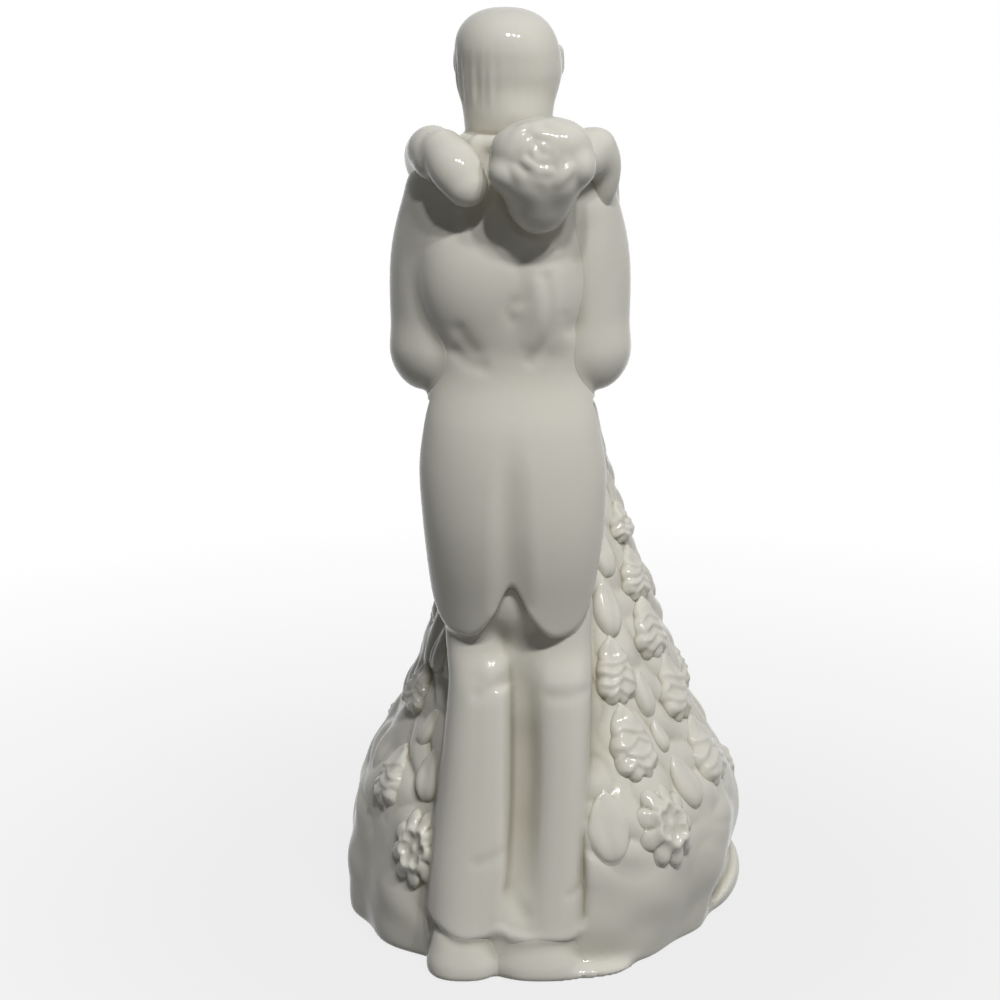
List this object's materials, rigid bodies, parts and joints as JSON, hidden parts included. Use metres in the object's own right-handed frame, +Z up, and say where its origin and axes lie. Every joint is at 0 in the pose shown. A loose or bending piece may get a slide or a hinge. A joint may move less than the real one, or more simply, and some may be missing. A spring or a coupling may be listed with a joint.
{
  "type": "wedding cake topper",
  "caption": "Glazed porcelain figure of a groom in a tailcoat holding a bride in a wide, flower-covered gown, that stands on top of a wedding cake.",
  "frame": {"origin": "on the cake, under the middle of the gown's foot, on the underside of the foot plate", "axes": "+Z up the figure; -Y is the way the groom's back faces, and +X is at the right of someone who looks at his back"},
  "size_m": [0.0741, 0.0785, 0.1653],
  "materials": {
    "glaze": "clear gloss glaze over white porcelain",
    "bisque": "unglazed, fired"
  },
  "bodies": {
    "root": {"bouquet_blooms": "glaze", "bouquet_holder": "glaze", "bride_bodice": "glaze", "bride_head": "glaze", "bride_left_arm": "glaze", "bride_right_arm": "glaze", "foot_plate": "bisque", "gown_bud_01": "glaze", "gown_bud_02": "glaze", "gown_bud_03": "glaze", "gown_bud_04": "glaze", "gown_bud_05": "glaze", "gown_bud_06": "glaze", "gown_bud_07": "glaze", "gown_bud_08": "glaze", "gown_bud_09": "glaze", "gown_bud_10": "glaze", "gown_bud_11": "glaze", "gown_bud_12": "glaze", "gown_bud_13": "glaze", "gown_bud_14": "glaze", "gown_bud_15": "glaze", "gown_bud_16": "glaze", "gown_bud_17": "glaze", "gown_bud_18": "glaze", "gown_flower_01": "glaze", "gown_flower_02": "glaze", "gown_flower_03": "glaze", "gown_flower_04": "glaze", "gown_flower_05": "glaze", "gown_flower_06": "glaze", "gown_flower_07": "glaze", "gown_flower_08": "glaze", "gown_flower_09": "glaze", "gown_flower_10": "glaze", "gown_flower_11": "glaze", "gown_flower_12": "glaze", "gown_flower_13": "glaze", "gown_flower_14": "glaze", "gown_flower_15": "glaze", "gown_flower_16": "glaze", "gown_flower_17": "glaze", "gown_flower_18": "glaze", "gown_flower_19": "glaze", "gown_flower_20": "glaze", "gown_flower_21": "glaze", "gown_flower_22": "glaze", "gown_flower_23": "glaze", "gown_skirt": "glaze", "gown_train": "glaze", "groom_head": "glaze", "groom_left_arm": "glaze", "groom_left_shoe": "glaze", "groom_right_arm": "glaze", "groom_right_shoe": "glaze", "groom_tailcoat": "glaze", "groom_trousers": "glaze"}
  },
  "joints": []
}
